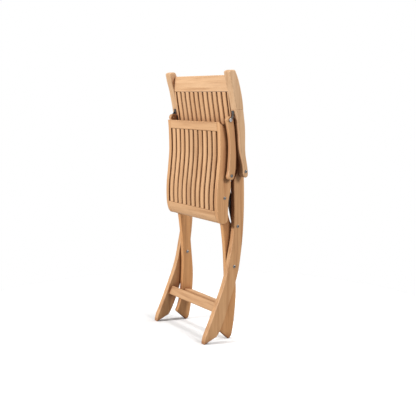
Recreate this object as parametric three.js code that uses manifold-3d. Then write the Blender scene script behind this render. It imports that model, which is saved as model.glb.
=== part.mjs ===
// Folding teak armchair, shown folded and standing on its four leg tips.
// Millimetres, +Z up, +X to the sitter's left-hand side, -Y to the front of the folded chair.
// The origin is on the floor, under the middle of the folded chair.
//
// Each upright (front leg and back support) crosses a rear leg at one pivot. The seat hangs on the
// tops of the rear legs. A post on each seat rail carries the front of an armrest whose rear end turns
// on the upright, and a steel link ties the seat rail to the upright.
import * as THREE from 'three';
import { mergeVertices } from 'three/addons/utils/BufferGeometryUtils.js';
import Module from 'manifold-3d';

// ---- Driving dimensions ----------------------------------------------------------------------
// Pieces lie in side-by-side planes: [inner face, outer face], measured out from the middle.
const REAR_LEG_X = [171.5, 195.8];
const LINK_X = [196.2, 198.6];
const UPRIGHT_X = [199, 227];
const SEAT_RAIL_X = [199, 221.6];
const STILE_X = [227.4, 273];
const ARMREST_X = [228.2, 273];
const POST_X = [229, 250];
const BRACKET_EAR_X = [250.8, 253.2];
const BRACKET_PLATE_X = [238, 253.2];
const BACK_HALF_WIDTH = 227;
const BRACKET_PLATE = [[22, 943.5], [24.2, 943.5], [27.2, 921.5], [25, 921.5]];
const JOINT_GAP = 0.3; // between faces that meet

// Pivots, as [y, z] in the folded chair.
const CROSS_PIVOT = [45, 310];
const SEAT_PIVOT = [2, 593];
const LINK_PIVOT = [61, 475];
const LINK_TOP = [17, 686];
const ARMREST_PIVOT = [69, 702];
const BRACKET_PIVOT = [10, 907];
const POST_FOOT = [17, 685];

const SLAT_COUNT_BACK = 11;
const SLAT_PITCH_BACK = 38.3;
const SLAT_WIDTH_BACK = 26.8;
const SLAT_COUNT_SEAT = 10;
const SLAT_PITCH_SEAT = 38.45;
const SLAT_WIDTH_SEAT = 27;
const SLAT_THICKNESS = { back: 12, seat: 14 };
const SIDE_STRIP_WIDTH = 10.6;
const LINK_WIDTH = { low: 18.5, high: 25 };

const BACK_TOP_RAIL_Z = [1019, 1085];
const BACK_BOTTOM_RAIL_Z = [707, 762];
const SEAT_FRONT_RAIL_Z = [489, 541];
const SEAT_REAR_RAIL_Z = [861, 897.5];

const BOARD_EDGE = 3; // rounding along the edges of boards
const SEAT_RAIL_EDGE = 1.5; // finer, so that the rail runs smoothly into its cross rails
const SLAT_EDGE = 2.5;
const END_EDGE = 0.3; // where a cross piece meets its neighbour
const CROSS_PIECE_ROUND = 3; // rounding along a cross piece's long edges
const BOLT = { shank: 3, hole: 3.3, head: 6.2, headHeight: 2.4, socket: 2.2, socketDepth: 1.6 };
const ROUND_SEGMENTS = 12;
const CURVE_SEGMENTS = 14;

// ---- Side profiles, [y, z] from the bottom up --------------------------------------------------
// The sole of each leg is cut so that it lies flat on the floor once the chair is open.
const UPRIGHT = {
  front: [[-95, 0.5], [-92, 24], [-76, 60], [-59, 98], [-35, 155], [-15, 202], [1.5, 247], [13.5, 290],
    [22, 333], [31.5, 380], [39, 420], [43.5, 468], [45, 541], [43, 624], [43.5, 671], [62, 705], [61, 765],
    [49, 853], [41, 915], [29, 998]],
  rear: [[-37, 25.5], [-25, 43], [-12, 69], [2, 101], [21, 156], [40.5, 208], [59.5, 265], [70, 310],
    [78.5, 367], [86.5, 438], [91, 520], [92, 593], [91, 666], [88, 728], [83, 790], [78, 853], [70, 936],
    [59, 998]],
};
const REAR_LEG = {
  front: [[5, 30], [-8, 43], [-1, 60], [11, 98], [18, 148], [22, 198], [25, 255], [25, 287], [21, 371],
    [15, 433], [8, 484], [-3, 541], [-15, 588]],
  rear: [[38, 0], [51, 12], [60, 51], [66, 98], [71, 145], [74, 203], [71, 263], [65, 332], [61, 391],
    [61, 445], [52, 478], [43, 496], [33, 530], [19, 598]],
};
const STILE = {
  front: [[26, 940], [17, 986], [8, 1028], [-2, 1062], [-9, 1094]],
  rear: [[59, 940], [53, 987], [45, 1026], [34, 1066], [21, 1098]],
};
const ARMREST = {
  front: [[60, 694], [58, 728], [44, 789], [39, 849], [34, 889], [24, 950]],
  rear: [[81, 696], [77, 728], [68, 779], [67, 849], [65, 889], [57, 950]],
};
const STILE_END = 949; // the armrest stands right under the stile
const STILE_JOINT = 0.2;
const POST = {
  front: [[0, 682], [6, 707], [10, 757], [11, 796], [10, 829], [4, 868], [0, 888], [-5, 907]],
  rear: [[31, 682], [36, 707], [39, 757], [38, 796], [35, 829], [32, 868], [29, 888], [26, 907]],
};
const SEAT_FRONT = [[-13, 489], [-22, 499], [-29, 520], [-33, 546], [-34, 589], [-32, 631], [-27, 674],
  [-23, 716], [-19, 757], [-19, 809], [-21, 861], [-24, 898]];
const SEAT_RAIL_REAR = [[-1, 488], [11, 493], [18, 504], [18, 538], [19, 566], [21, 586], [26, 606],
  [30.5, 626], [30.5, 664], [24, 728], [16, 811], [7, 872]];
const BACK_FRONT = [[43, 707], [43, 749], [41, 790], [36, 853], [28, 915], [13, 1019], [16, 1085]];

// ---- Materials ---------------------------------------------------------------------------------
const teak = new THREE.MeshStandardMaterial({ color: 0xc9976a, roughness: 0.55, metalness: 0 });
const teakLight = new THREE.MeshStandardMaterial({ color: 0xd9ab7d, roughness: 0.55, metalness: 0 });
const steel = new THREE.MeshStandardMaterial({ color: 0x8b8f96, roughness: 0.35, metalness: 1 });

// ---- Helpers -----------------------------------------------------------------------------------
const wasm = await Module();
wasm.setup();
const chair = new THREE.Group();
const SIDES = [['left', -1], ['right', 1]];

function addMesh(name, geometry, material) {
  const mesh = new THREE.Mesh(geometry, material);
  mesh.name = name;
  chair.add(mesh);
  return mesh;
}

// A closed geometry as a solid that can be joined or cut, and back.
function toSolid(geometry) {
  const bare = geometry.clone();
  bare.deleteAttribute('normal');
  bare.deleteAttribute('uv');
  const merged = mergeVertices(bare, 1e-4);
  return new wasm.Manifold(new wasm.Mesh({
    numProp: 3,
    vertProperties: merged.attributes.position.array,
    triVerts: new Uint32Array(merged.index.array),
  }));
}

function toGeometry(solid) {
  const mesh = solid.getMesh();
  const geometry = new THREE.BufferGeometry();
  geometry.setAttribute('position', new THREE.BufferAttribute(mesh.vertProperties, 3));
  geometry.setIndex(new THREE.BufferAttribute(mesh.triVerts, 1));
  return geometry;
}

// A smooth curve through a list of [y, z] points, as Vector2s.
function smooth(points, segments = CURVE_SEGMENTS) {
  return new THREE.SplineCurve(points.map(([y, z]) => new THREE.Vector2(y, z))).getPoints(segments);
}

// The y of a curve of [y, z] points at a height.
function depthAt(points, z) {
  const above = points.findIndex(([, height]) => height >= z);
  const [y1, z1] = points[Math.max(above, 1)];
  const [y0, z0] = points[Math.max(above, 1) - 1];
  return y0 + ((y1 - y0) * (z - z0)) / (z1 - z0);
}

// Points of a round end that goes from one point to another, bulging by `bulge` to the right of the
// way from the first to the second.
function roundEnd(from, to, bulge, segments = 6) {
  const middle = from.clone().add(to).multiplyScalar(0.5);
  const half = to.clone().sub(from).multiplyScalar(0.5);
  const out = new THREE.Vector2(half.y, -half.x).normalize().multiplyScalar(bulge);
  const points = [];
  for (let i = 1; i < segments && bulge > 0; i++) {
    const angle = Math.PI * (1 - i / segments);
    points.push(
      middle.clone().addScaledVector(half, Math.cos(angle)).addScaledVector(out, Math.sin(angle)),
    );
  }
  return points;
}

// A board: a side outline of Vector2(y, z) points that reaches from x0 to x1, with rounded edges and
// bolt holes drilled along X.
function board(outline, [x0, x1], { holes = [], edge = BOARD_EDGE, bevelSegments = 1 } = {}) {
  const geometry = new THREE.ExtrudeGeometry(new THREE.Shape(outline), {
    depth: x1 - x0 - 2 * edge,
    bevelEnabled: edge > 0,
    bevelThickness: edge,
    bevelSize: edge,
    bevelOffset: -edge,
    bevelSegments,
  });
  // The outline's axes become Y and Z, and the extrusion runs along X.
  geometry.applyMatrix4(new THREE.Matrix4().makeBasis(
    new THREE.Vector3(0, 1, 0), new THREE.Vector3(0, 0, 1), new THREE.Vector3(1, 0, 0),
  ));
  geometry.translate(x0 + edge, 0, 0);
  if (!holes.length) return geometry;

  let solid = toSolid(geometry);
  for (const [y, z] of holes) {
    const drill = new THREE.CylinderGeometry(BOLT.hole, BOLT.hole, x1 - x0 + 2, ROUND_SEGMENTS)
      .rotateZ(Math.PI / 2)
      .translate((x0 + x1) / 2, y, z);
    solid = solid.subtract(toSolid(drill));
  }
  return toGeometry(solid);
}

// The part of a closed geometry between two heights, cut off square.
function keepBetween(geometry, low, high) {
  const slab = new THREE.BoxGeometry(1000, 1000, high - low).translate(0, 0, (low + high) / 2);
  return toGeometry(toSolid(geometry).intersect(toSolid(slab)));
}

// The plane of a piece on one side of the chair.
function onSide(side, [inner, outer]) {
  return side > 0 ? [inner, outer] : [-outer, -inner];
}

// An outline whose sharp corners are replaced by short arcs.
function roundCorners(outline, radius, segments = 3) {
  return outline.flatMap((corner, i) => {
    const before = outline.at(i - 1).clone().sub(corner).normalize();
    const after = outline[(i + 1) % outline.length].clone().sub(corner).normalize();
    if (before.dot(after) < -0.7) return [corner];
    const start = corner.clone().addScaledVector(before, radius);
    const end = corner.clone().addScaledVector(after, radius);
    const curve = new THREE.QuadraticBezierCurve(start, corner, end);
    return curve.getPoints(segments);
  });
}

// A cross piece: a section that reaches as far to the left as to the right, square at its ends and
// rounded along its length.
function crossPiece(section, halfLength, round = CROSS_PIECE_ROUND) {
  return board(roundCorners(section, round), [-halfLength, halfLength], { edge: END_EDGE });
}

// A straight cross piece whose rectangular section is centred on [y, z] and turned by `tilt`.
function bar([y, z], height, thickness, tilt, halfLength) {
  const corners = [[-1, -1], [1, -1], [1, 1], [-1, 1]];
  const outline = corners.map(([a, b]) =>
    new THREE.Vector2((a * thickness) / 2, (b * height) / 2)
      .rotateAround(new THREE.Vector2(), THREE.MathUtils.degToRad(tilt))
      .add(new THREE.Vector2(y, z)));
  return crossPiece(outline, halfLength);
}

// A bolt along X from one face to another: a socket head on the far end, and a nut or a plain end.
function bolt(side, [y, z], [inner, outer], { head = BOLT.head, nut = true } = {}) {
  const r = BOLT.shank;
  const h = BOLT.headHeight;
  const top = outer + h;
  const profile = nut
    ? [[0, inner - h], [head * 0.75, inner - h], [head, inner - h * 0.5], [head, inner], [r, inner]]
    : [[0, inner], [r, inner]];
  profile.push([r, outer], [head, outer], [head, outer + h * 0.5], [head * 0.72, top]);
  profile.push([BOLT.socket, top], [BOLT.socket, top - BOLT.socketDepth], [0, top - BOLT.socketDepth]);
  const geometry = new THREE.LatheGeometry(
    profile.map(([radius, along]) => new THREE.Vector2(radius, along)), ROUND_SEGMENTS,
  );
  // The lathe turns about Y, and a quarter turn lays the bolt along X with its head outward.
  return geometry.rotateZ((-side * Math.PI) / 2).translate(0, y, z);
}

// ---- Outlines ----------------------------------------------------------------------------------
function uprightOutline() {
  const front = smooth(UPRIGHT.front, 30);
  const rear = smooth(UPRIGHT.rear, 28);
  return [...rear, ...roundEnd(rear.at(-1), front.at(-1), 10, 4), ...front.reverse()];
}

function rearLegOutline() {
  const front = smooth(REAR_LEG.front, 26);
  const rear = smooth(REAR_LEG.rear, 26);
  return [...rear, ...roundEnd(rear.at(-1), front.at(-1), 17), ...front.reverse()];
}

function slenderOutline({ front, rear }, bottomBulge, topBulge) {
  const frontCurve = smooth(front);
  const rearCurve = smooth(rear);
  return [
    ...rearCurve,
    ...roundEnd(rearCurve.at(-1), frontCurve.at(-1), topBulge),
    ...frontCurve.reverse(),
    ...roundEnd(new THREE.Vector2(...front[0]), new THREE.Vector2(...rear[0]), bottomBulge),
  ];
}

// A strip that follows a curve of [y, z] points between two heights, at a constant thickness.
function stripOutline(curve, [z0, z1], thickness, steps = 8) {
  const front = [];
  const rear = [];
  for (let i = 0; i <= steps; i++) {
    const z = z0 + ((z1 - z0) * i) / steps;
    const y = depthAt(curve, z);
    front.push(new THREE.Vector2(y, z));
    rear.push(new THREE.Vector2(y + thickness, z));
  }
  return [...rear, ...front.reverse()];
}

// ---- Frame: uprights, stiles, backrest and front stretcher ---------------------------------------
function addFrame() {
  for (const [label, side] of SIDES) {
    addMesh(`upright_${label}`, board(uprightOutline(), onSide(side, UPRIGHT_X),
      { holes: [CROSS_PIVOT, LINK_PIVOT, ARMREST_PIVOT], bevelSegments: 2 }), teak);
    const stile = board(slenderOutline(STILE, 0, 8), onSide(side, STILE_X), { edge: 4, bevelSegments: 2 });
    addMesh(`back_stile_${label}`, keepBetween(stile, STILE_END, 1200), teak);
  }

  const backCurve = smooth(BACK_FRONT, 60).map(({ x, y }) => [x, y]);
  const rail = (z, thickness) =>
    crossPiece(stripOutline(backCurve, z, thickness, 4), BACK_HALF_WIDTH);
  addMesh('back_top_rail', rail(BACK_TOP_RAIL_Z, 24), teakLight);
  addMesh('back_bottom_rail', rail(BACK_BOTTOM_RAIL_Z, 15), teak);

  const slatZ = [BACK_BOTTOM_RAIL_Z[1] + JOINT_GAP, BACK_TOP_RAIL_Z[0] - JOINT_GAP];
  const slat = stripOutline(backCurve, slatZ, SLAT_THICKNESS.back);
  for (let i = 0; i < SLAT_COUNT_BACK; i++) {
    const x = (i - (SLAT_COUNT_BACK - 1) / 2) * SLAT_PITCH_BACK;
    addMesh(`back_slat_${String(i + 1).padStart(2, '0')}`,
      board(slat, [x - SLAT_WIDTH_BACK / 2, x + SLAT_WIDTH_BACK / 2], { edge: SLAT_EDGE }),
      teakLight);
  }
  for (const [label, side] of SIDES) {
    addMesh(`back_side_strip_${label}`,
      board(slat, onSide(side, [BACK_HALF_WIDTH - SIDE_STRIP_WIDTH, BACK_HALF_WIDTH]),
        { edge: 1.2 }), teakLight);
  }

  addMesh('front_stretcher', bar([-17, 134], 39, 22, -26, UPRIGHT_X[0] - JOINT_GAP), teak);
}

// ---- Rear legs -----------------------------------------------------------------------------------
function addRearLegs() {
  for (const [label, side] of SIDES) {
    addMesh(`rear_leg_${label}`,
      board(rearLegOutline(), onSide(side, REAR_LEG_X),
        { holes: [CROSS_PIVOT, SEAT_PIVOT], bevelSegments: 2 }), teak);
  }
  addMesh('rear_stretcher', bar([45, 128], 26, 34, -10, REAR_LEG_X[0] - JOINT_GAP), teak);
}

// ---- Seat ----------------------------------------------------------------------------------------
function addSeat() {
  const frontCurve = smooth(SEAT_FRONT, 60);
  const frontPoints = frontCurve.map(({ x, y }) => [x, y]);
  const railRear = smooth(SEAT_RAIL_REAR, 18);
  const railFront = smooth(SEAT_FRONT, 20);
  const railOutline = [...railRear, ...railFront.reverse()];
  for (const [label, side] of SIDES) {
    addMesh(`seat_rail_${label}`,
      board(railOutline, onSide(side, SEAT_RAIL_X),
        { holes: [SEAT_PIVOT], edge: SEAT_RAIL_EDGE, bevelSegments: 2 }), teak);
  }

  const halfLength = SEAT_RAIL_X[0] - JOINT_GAP;
  const rail = (z, thickness) =>
    crossPiece(stripOutline(frontPoints, z, thickness, 6), halfLength);
  addMesh('seat_front_rail', rail(SEAT_FRONT_RAIL_Z, 16), teakLight);
  addMesh('seat_rear_rail', rail(SEAT_REAR_RAIL_Z, 24), teakLight);

  const slatZ = [SEAT_FRONT_RAIL_Z[1] + JOINT_GAP, SEAT_REAR_RAIL_Z[0] - JOINT_GAP];
  const slat = stripOutline(frontPoints, slatZ, SLAT_THICKNESS.seat, 10);
  for (let i = 0; i < SLAT_COUNT_SEAT; i++) {
    const x = (i - (SLAT_COUNT_SEAT - 1) / 2) * SLAT_PITCH_SEAT;
    addMesh(`seat_slat_${String(i + 1).padStart(2, '0')}`,
      board(slat, [x - SLAT_WIDTH_SEAT / 2, x + SLAT_WIDTH_SEAT / 2], { edge: SLAT_EDGE }),
      teakLight);
  }
}

// ---- Arms ----------------------------------------------------------------------------------------
function addArms() {
  for (const [label, side] of SIDES) {
    const armrest = board(slenderOutline(ARMREST, 18, 0), onSide(side, ARMREST_X),
      { holes: [ARMREST_PIVOT], edge: 4, bevelSegments: 2 });
    addMesh(`armrest_${label}`, keepBetween(armrest, 600, STILE_END - STILE_JOINT), teakLight);
    addMesh(`arm_post_${label}`,
      board(slenderOutline(POST, 14, 15), onSide(side, POST_X),
        { holes: [BRACKET_PIVOT, POST_FOOT], bevelSegments: 2 }), teak);
  }
}

// ---- Steel: armrest brackets, seat links and bolts -----------------------------------------------
// A plate under the armrest's front end, with an ear that reaches forward to the post's top bolt.
function bracket(side) {
  const plate = BRACKET_PLATE.map(([y, z]) => new THREE.Vector2(y, z));
  const centre = new THREE.Vector2(...BRACKET_PIVOT);
  const ear = [new THREE.Vector2(25.5, 924), new THREE.Vector2(24, 934)];
  for (let i = 0; i <= 10; i++) {
    const angle = THREE.MathUtils.degToRad(105 + i * 22);
    ear.push(new THREE.Vector2(Math.cos(angle), Math.sin(angle)).multiplyScalar(6.4).add(centre));
  }
  const plateSolid = toSolid(board(plate, onSide(side, BRACKET_PLATE_X), { edge: 0 }));
  const earSolid = toSolid(
    board(ear, onSide(side, BRACKET_EAR_X), { holes: [BRACKET_PIVOT], edge: 0 }),
  );
  return toGeometry(plateSolid.add(earSolid));
}

// A flat bar with round ends, wider at the top, and a hole for the bolt at its lower end.
function linkOutline() {
  const low = new THREE.Vector2(...LINK_PIVOT);
  const high = new THREE.Vector2(...LINK_TOP);
  const across = high.clone().sub(low).normalize().rotateAround(new THREE.Vector2(), Math.PI / 2);
  const corner = (end, width, sign) => end.clone().addScaledVector(across, (sign * width) / 2);
  const corners = [
    corner(low, LINK_WIDTH.low, -1), corner(high, LINK_WIDTH.high, -1),
    corner(high, LINK_WIDTH.high, 1), corner(low, LINK_WIDTH.low, 1),
  ];
  return [
    corners[0], corners[1], ...roundEnd(corners[1], corners[2], LINK_WIDTH.high / 2),
    corners[2], corners[3], ...roundEnd(corners[3], corners[0], LINK_WIDTH.low / 2),
  ];
}

function addHardware() {
  const clear = 0.2; // between a head and the face under it
  for (const [label, side] of SIDES) {
    addMesh(`arm_bracket_${label}`, bracket(side), steel);
    addMesh(`seat_link_${label}`,
      board(linkOutline(), onSide(side, LINK_X), { holes: [LINK_PIVOT], edge: 0 }), steel);
    const fasteners = {
      cross_bolt: bolt(side, CROSS_PIVOT, [REAR_LEG_X[0] - clear, UPRIGHT_X[1] + clear]),
      seat_bolt: bolt(side, SEAT_PIVOT, [REAR_LEG_X[0] - clear, SEAT_RAIL_X[1] + clear]),
      link_bolt: bolt(side, LINK_PIVOT, [LINK_X[0], UPRIGHT_X[1] + clear], { nut: false }),
      armrest_bolt: bolt(side, ARMREST_PIVOT, [UPRIGHT_X[0] + 8, ARMREST_X[1] + clear],
        { nut: false }),
      bracket_bolt: bolt(side, BRACKET_PIVOT, [POST_X[0] + 1, BRACKET_EAR_X[1] + clear],
        { head: 7.6, nut: false }),
      post_bolt: bolt(side, POST_FOOT, [POST_X[0] + 1, POST_X[1] + clear], { nut: false }),
    };
    for (const [name, geometry] of Object.entries(fasteners)) {
      addMesh(`${name}_${label}`, geometry, steel);
    }
  }
}

addFrame();
addRearLegs();
addSeat();
addArms();
addHardware();

// The origin goes to the floor, under the middle of the chair.
const box = new THREE.Box3().setFromObject(chair, true);
const middle = box.getCenter(new THREE.Vector3());
chair.position.set(-middle.x, -middle.y, -box.min.z);
chair.updateMatrixWorld(true);

export default chair;
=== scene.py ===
"""Looks of a folded teak armchair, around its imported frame. Metres, +Z up, front towards -Y."""

import random
from math import radians

import bpy
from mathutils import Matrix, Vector


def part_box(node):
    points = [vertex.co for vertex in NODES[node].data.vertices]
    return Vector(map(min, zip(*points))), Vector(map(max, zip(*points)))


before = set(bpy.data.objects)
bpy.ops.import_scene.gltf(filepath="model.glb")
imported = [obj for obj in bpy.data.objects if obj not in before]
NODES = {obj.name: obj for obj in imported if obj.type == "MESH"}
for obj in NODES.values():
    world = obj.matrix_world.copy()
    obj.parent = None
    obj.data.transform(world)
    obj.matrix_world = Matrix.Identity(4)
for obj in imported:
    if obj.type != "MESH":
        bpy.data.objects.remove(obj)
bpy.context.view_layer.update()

# ---- Camera ------------------------------------------------------------------------------------
CAMERA_PLACE = (3.2036, -1.7960, 1.0090)
CAMERA_HEADING = 60      # degrees from looking along +Y
CAMERA_PITCH = 7.45      # degrees down
CAMERA_LENS = 75.36      # mm on a 36 mm sensor

# ---- Stage -------------------------------------------------------------------------------------
FLOOR_RADIUS = 1.25
FLOOR_DROP = 0.0005      # the floor lies just below the leg tips
BACKDROP_LIGHT = 0.42    # the light of the white backdrop on the chair
CHAIR_MIDDLE = (0, 0, 0.6)

# ---- Boards ------------------------------------------------------------------------------------
HORIZONTAL = ("stretcher", "top_rail", "bottom_rail", "front_rail", "rear_rail")
PALE = ("back_slat", "seat_slat", "back_side", "seat_front", "seat_rear")
ONE_PLANK = ("back_stile", "armrest")     # cut from one plank, so they share their tone
WARMTH = {
    "back_stile": -0.8,
    "armrest": -0.8,
    "back_top": -0.6,
    "rear_leg": 1.2,
    "seat_rail": 0.5,
    "arm_post": 0.5,
    "upright": 0.4,
}
LIGHT_TEAK = (0.585, 0.345, 0.176)
MIDDLE_TEAK = (0.505, 0.280, 0.132)
DARK_TEAK = (0.360, 0.172, 0.070)
FLECK = (0.20, 0.088, 0.034)
FIBRE = (0.24, 0.11, 0.045)
# Colour of the painted shade in the slots and corners of the teak.
TEAK_PAINTED_SHADE = (0.230, 0.076, 0.024, 1)


def add_camera():
    data = bpy.data.cameras.new("camera")
    data.sensor_width = 36
    data.lens = CAMERA_LENS
    camera = bpy.data.objects.new("camera", data)
    camera.location = CAMERA_PLACE
    camera.rotation_euler = (radians(90 - CAMERA_PITCH), 0, radians(CAMERA_HEADING))
    bpy.context.scene.collection.objects.link(camera)
    bpy.context.scene.camera = camera


# ---- Material helpers --------------------------------------------------------------------------
class Nodes:
    """Short calls for building a node tree."""

    def __init__(self, name):
        self.material = bpy.data.materials.new(name)
        self.material.use_nodes = True
        self.tree = self.material.node_tree
        self.shader = self.tree.nodes["Principled BSDF"]

    def new(self, kind, **settings):
        node = self.tree.nodes.new(kind)
        for key, value in settings.items():
            setattr(node, key, value)
        return node

    def link(self, source, target):
        self.tree.links.new(source, target)

    def feed(self, value, socket):
        if isinstance(value, bpy.types.NodeSocket):
            self.link(value, socket)
        else:
            socket.default_value = value

    def mix(self, factor, a, b):
        node = self.new("ShaderNodeMix", data_type="RGBA")
        self.feed(factor, node.inputs[0])
        self.feed(a, node.inputs[6])
        self.feed(b, node.inputs[7])
        return node.outputs[2]

    def ramp(self, value, stops):
        node = self.new("ShaderNodeValToRGB")
        elements = node.color_ramp.elements
        while len(elements) < len(stops):
            elements.new(0.5)
        for element, (position, colour) in zip(elements, stops):
            element.position = position
            element.color = colour
        self.feed(value, node.inputs[0])
        return node.outputs[0]

    def noise(self, vector, scale, detail, roughness=0.5, distortion=0.0):
        node = self.new("ShaderNodeTexNoise")
        self.feed(vector, node.inputs["Vector"])
        node.inputs["Scale"].default_value = scale
        node.inputs["Detail"].default_value = detail
        node.inputs["Roughness"].default_value = roughness
        node.inputs["Distortion"].default_value = distortion
        return node.outputs[0]

    def mapping(self, vector, location=(0, 0, 0), rotation=(0, 0, 0), scale=(1, 1, 1)):
        node = self.new("ShaderNodeMapping")
        self.feed(vector, node.inputs["Vector"])
        node.inputs["Location"].default_value = location
        node.inputs["Rotation"].default_value = rotation
        node.inputs["Scale"].default_value = scale
        return node.outputs[0]

    def occlusion(self, distance):
        node = self.new("ShaderNodeAmbientOcclusion", samples=8)
        node.inputs["Distance"].default_value = distance
        return node.outputs["AO"]

    def bump(self, height, strength, distance, normal=None):
        node = self.new("ShaderNodeBump")
        node.inputs["Strength"].default_value = strength
        node.inputs["Distance"].default_value = distance
        self.feed(height, node.inputs["Height"])
        if normal is not None:
            self.link(normal, node.inputs["Normal"])
        return node.outputs[0]


def grey(value):
    return (value, value, value, 1)


def tinted(colour, tint):
    """A colour times a tint, as an opaque colour."""
    return (*[c * t for c, t in zip(colour, tint)], 1)


# ---- Teak --------------------------------------------------------------------------------------
def teak(name, tone, warmth, place, turn, seed):
    """Oiled teak whose grain runs along its own Z after `turn`.

    `tone` lightens or darkens the board, and `warmth` moves its colour towards orange."""
    n = Nodes(name)
    coordinates = n.new("ShaderNodeTexCoord").outputs["Object"]
    local = n.mapping(coordinates, location=[-c for c in place])
    turned = n.mapping(local, rotation=turn)
    rng = random.Random(seed)
    drift = [rng.uniform(-4, 4) for _ in range(3)]

    def along_grain(stretch):
        return n.mapping(turned, location=drift, scale=(1, 1, stretch))

    # Growth bands: long, slightly wandering streaks along the board.
    bands = n.noise(along_grain(0.045), 55, detail=4, roughness=0.62, distortion=0.4)
    wide = n.noise(along_grain(0.09), 14, detail=2)
    # Pores and short dark flecks.
    fibre = n.noise(along_grain(0.02), 620, detail=3, roughness=0.7)
    fleck = n.noise(along_grain(0.035), 240, detail=2)

    hue = (tone, tone * (1 - 0.10 * warmth), tone * (1 - 0.24 * warmth))
    light = tinted(LIGHT_TEAK, hue)
    middle = tinted(MIDDLE_TEAK, hue)
    dark = tinted(DARK_TEAK, hue)
    base = n.ramp(bands, [(0.30, dark), (0.47, middle), (0.68, light)])
    broad = n.ramp(wide, [(0.38, grey(0)), (0.68, grey(0.55))])
    base = n.mix(broad, base, tinted(light, (0.86, 0.86, 0.86)))
    flecks = n.ramp(fleck, [(0.60, grey(0)), (0.78, grey(0.45))])
    base = n.mix(flecks, base, tinted(FLECK, (tone, tone, tone)))
    fibres = n.ramp(fibre, [(0.42, grey(0)), (0.62, grey(0.16))])
    base = n.mix(fibres, base, tinted(FIBRE, (tone, tone, tone)))
    # Painted shade: corners and slots are darkened towards a dark red-brown where they are
    # occluded.
    painted_shade = n.ramp(n.occlusion(0.045), [(0.38, grey(1)), (0.90, grey(0))])
    n.link(n.mix(painted_shade, base, TEAK_PAINTED_SHADE), n.shader.inputs["Base Color"])

    roughness = n.ramp(fibre, [(0.3, grey(0.46)), (0.7, grey(0.62))])
    n.link(roughness, n.shader.inputs["Roughness"])
    n.shader.inputs["Specular IOR Level"].default_value = 0.36
    n.shader.inputs["Coat Weight"].default_value = 0.06
    n.shader.inputs["Coat Roughness"].default_value = 0.35
    grain = n.bump(fibre, 0.22, 0.0006)
    grain = n.bump(bands, 0.12, 0.0012, normal=grain)
    n.link(grain, n.shader.inputs["Normal"])
    return n.material


# ---- Steel -------------------------------------------------------------------------------------
def steel(name, darkest, lightest):
    """Brushed stainless steel, a little dull, between two greys. Sockets and corners get painted
    shade.
    """
    n = Nodes(name)
    coordinates = n.new("ShaderNodeTexCoord").outputs["Object"]
    brushed = n.noise(n.mapping(coordinates, scale=(1, 1, 0.05)), 1080, detail=3)
    blotch = n.noise(coordinates, 180, detail=3)
    base = n.ramp(blotch, [(0.3, grey(darkest)), (0.7, grey(lightest))])
    # Painted shade: sockets and corners darken towards near-black where they are occluded.
    painted_shade = n.ramp(n.occlusion(0.004), [(0.25, grey(0.9)), (0.75, grey(0))])
    n.link(n.mix(painted_shade, base, grey(0.02)), n.shader.inputs["Base Color"])
    n.shader.inputs["Metallic"].default_value = 1.0
    n.link(n.ramp(brushed, [(0.3, grey(0.22)), (0.7, grey(0.40))]), n.shader.inputs["Roughness"])
    n.link(n.bump(brushed, 0.15, 0.0002), n.shader.inputs["Normal"])
    return n.material


# ---- Surfaces of the CAD pieces ----------------------------------------------------------------
def dress_steel():
    """Puts steel on every bolt, bracket and link, and gives back their names."""
    # One brushed steel in four brightnesses: the bracket bolt is lighter, a painted highlight; the
    # bracket and the link are darker, painted shade.
    materials = {
        "bracket_bolt": steel("steel_painted_highlight", 0.55, 0.80),
        "_bolt": steel("bolt_steel", 0.26, 0.42),
        "arm_bracket": steel("steel_painted_shade", 0.12, 0.24),
        "seat_link": steel("link_steel_painted_shade", 0.16, 0.28),
    }
    dressed = set()
    for name, piece in NODES.items():
        kind = next((word for word in materials if word in name), None)
        if kind:
            set_material(piece, materials[kind])
            dressed.add(name)
    return dressed


def dress_boards(names):
    rng = random.Random(7)
    for name in names:
        piece = NODES[name]
        low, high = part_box(name)
        turn = (0, radians(90), 0) if any(word in name for word in HORIZONTAL) else (0, 0, 0)
        tone = rng.uniform(0.93, 1.07)
        if name.startswith(ONE_PLANK):
            tone = 0.98
        if name.startswith(PALE):
            tone *= 1.05
        warmth = next((w for word, w in WARMTH.items() if name.startswith(word)), 0)
        seed = SORTED_NAMES.index(name)
        set_material(piece, teak(f"teak_{name}", tone, warmth, (low + high) / 2, turn, seed))
        soften(piece)


def set_material(piece, material):
    piece.data.materials.clear()
    piece.data.materials.append(material)


def soften(piece):
    """Smooth shading across the rounded edges, and flat faces that stay flat."""
    for polygon in piece.data.polygons:
        polygon.use_smooth = True
    weighted = piece.modifiers.new("even_faces", "WEIGHTED_NORMAL")
    weighted.keep_sharp = True
    weighted.weight = 80


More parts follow.
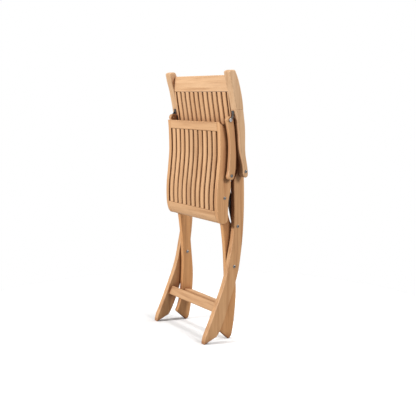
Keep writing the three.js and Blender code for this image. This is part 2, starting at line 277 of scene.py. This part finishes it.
# ---- Floor and light ---------------------------------------------------------------------------
def add_floor():
    bpy.ops.mesh.primitive_circle_add(
        vertices=96, radius=FLOOR_RADIUS, fill_type="NGON", location=(0, 0, -FLOOR_DROP))
    floor = bpy.context.active_object
    floor.name = "floor"
    n = Nodes("pale_floor")
    # The floor looks white and throws back less light than it seems to.
    seen = n.new("ShaderNodeLightPath").outputs["Is Camera Ray"]
    n.link(n.mix(seen, grey(0.34), grey(0.80)), n.shader.inputs["Base Color"])
    n.shader.inputs["Roughness"].default_value = 0.95
    n.shader.inputs["Specular IOR Level"].default_value = 0.05
    set_material(floor, n.material)


def add_area(name, place, target, size, energy):
    data = bpy.data.lights.new(name, "AREA")
    data.size = size
    data.energy = energy
    lamp = bpy.data.objects.new(name, data)
    lamp.location = place
    lamp.rotation_euler = (Vector(target) - Vector(place)).to_track_quat("-Z", "Y").to_euler()
    bpy.context.scene.collection.objects.link(lamp)


def add_backdrop():
    """A backdrop that is seen as plain white and gives only a weak light of its own."""
    world = bpy.data.worlds.new("studio")
    bpy.context.scene.world = world
    world.use_nodes = True
    tree = world.node_tree
    background = tree.nodes["Background"]
    background.inputs["Color"].default_value = grey(1)
    path = tree.nodes.new("ShaderNodeLightPath")
    level = tree.nodes.new("ShaderNodeMapRange")
    level.inputs["To Min"].default_value = BACKDROP_LIGHT
    level.inputs["To Max"].default_value = 1.0
    tree.links.new(path.outputs["Is Camera Ray"], level.inputs["Value"])
    tree.links.new(level.outputs["Result"], background.inputs["Strength"])


def add_light():
    bpy.context.scene.view_settings.view_transform = "Standard"
    add_area("key", (-0.7, -3.1, 1.7), CHAIR_MIDDLE, 0.45, 132)
    add_area("fill", (3.0, 0.7, 2.3), (0, 0, 0.7), 0.7, 80)
    add_area("back", (0.5, 3.0, 2.3), CHAIR_MIDDLE, 0.7, 38)
    add_area("top", (0.1, 0.5, 3.3), CHAIR_MIDDLE, 0.7, 46)


SORTED_NAMES = sorted(NODES)

add_camera()
steel_pieces = dress_steel()
dress_boards([name for name in SORTED_NAMES if name not in steel_pieces])
add_floor()
add_backdrop()
add_light()
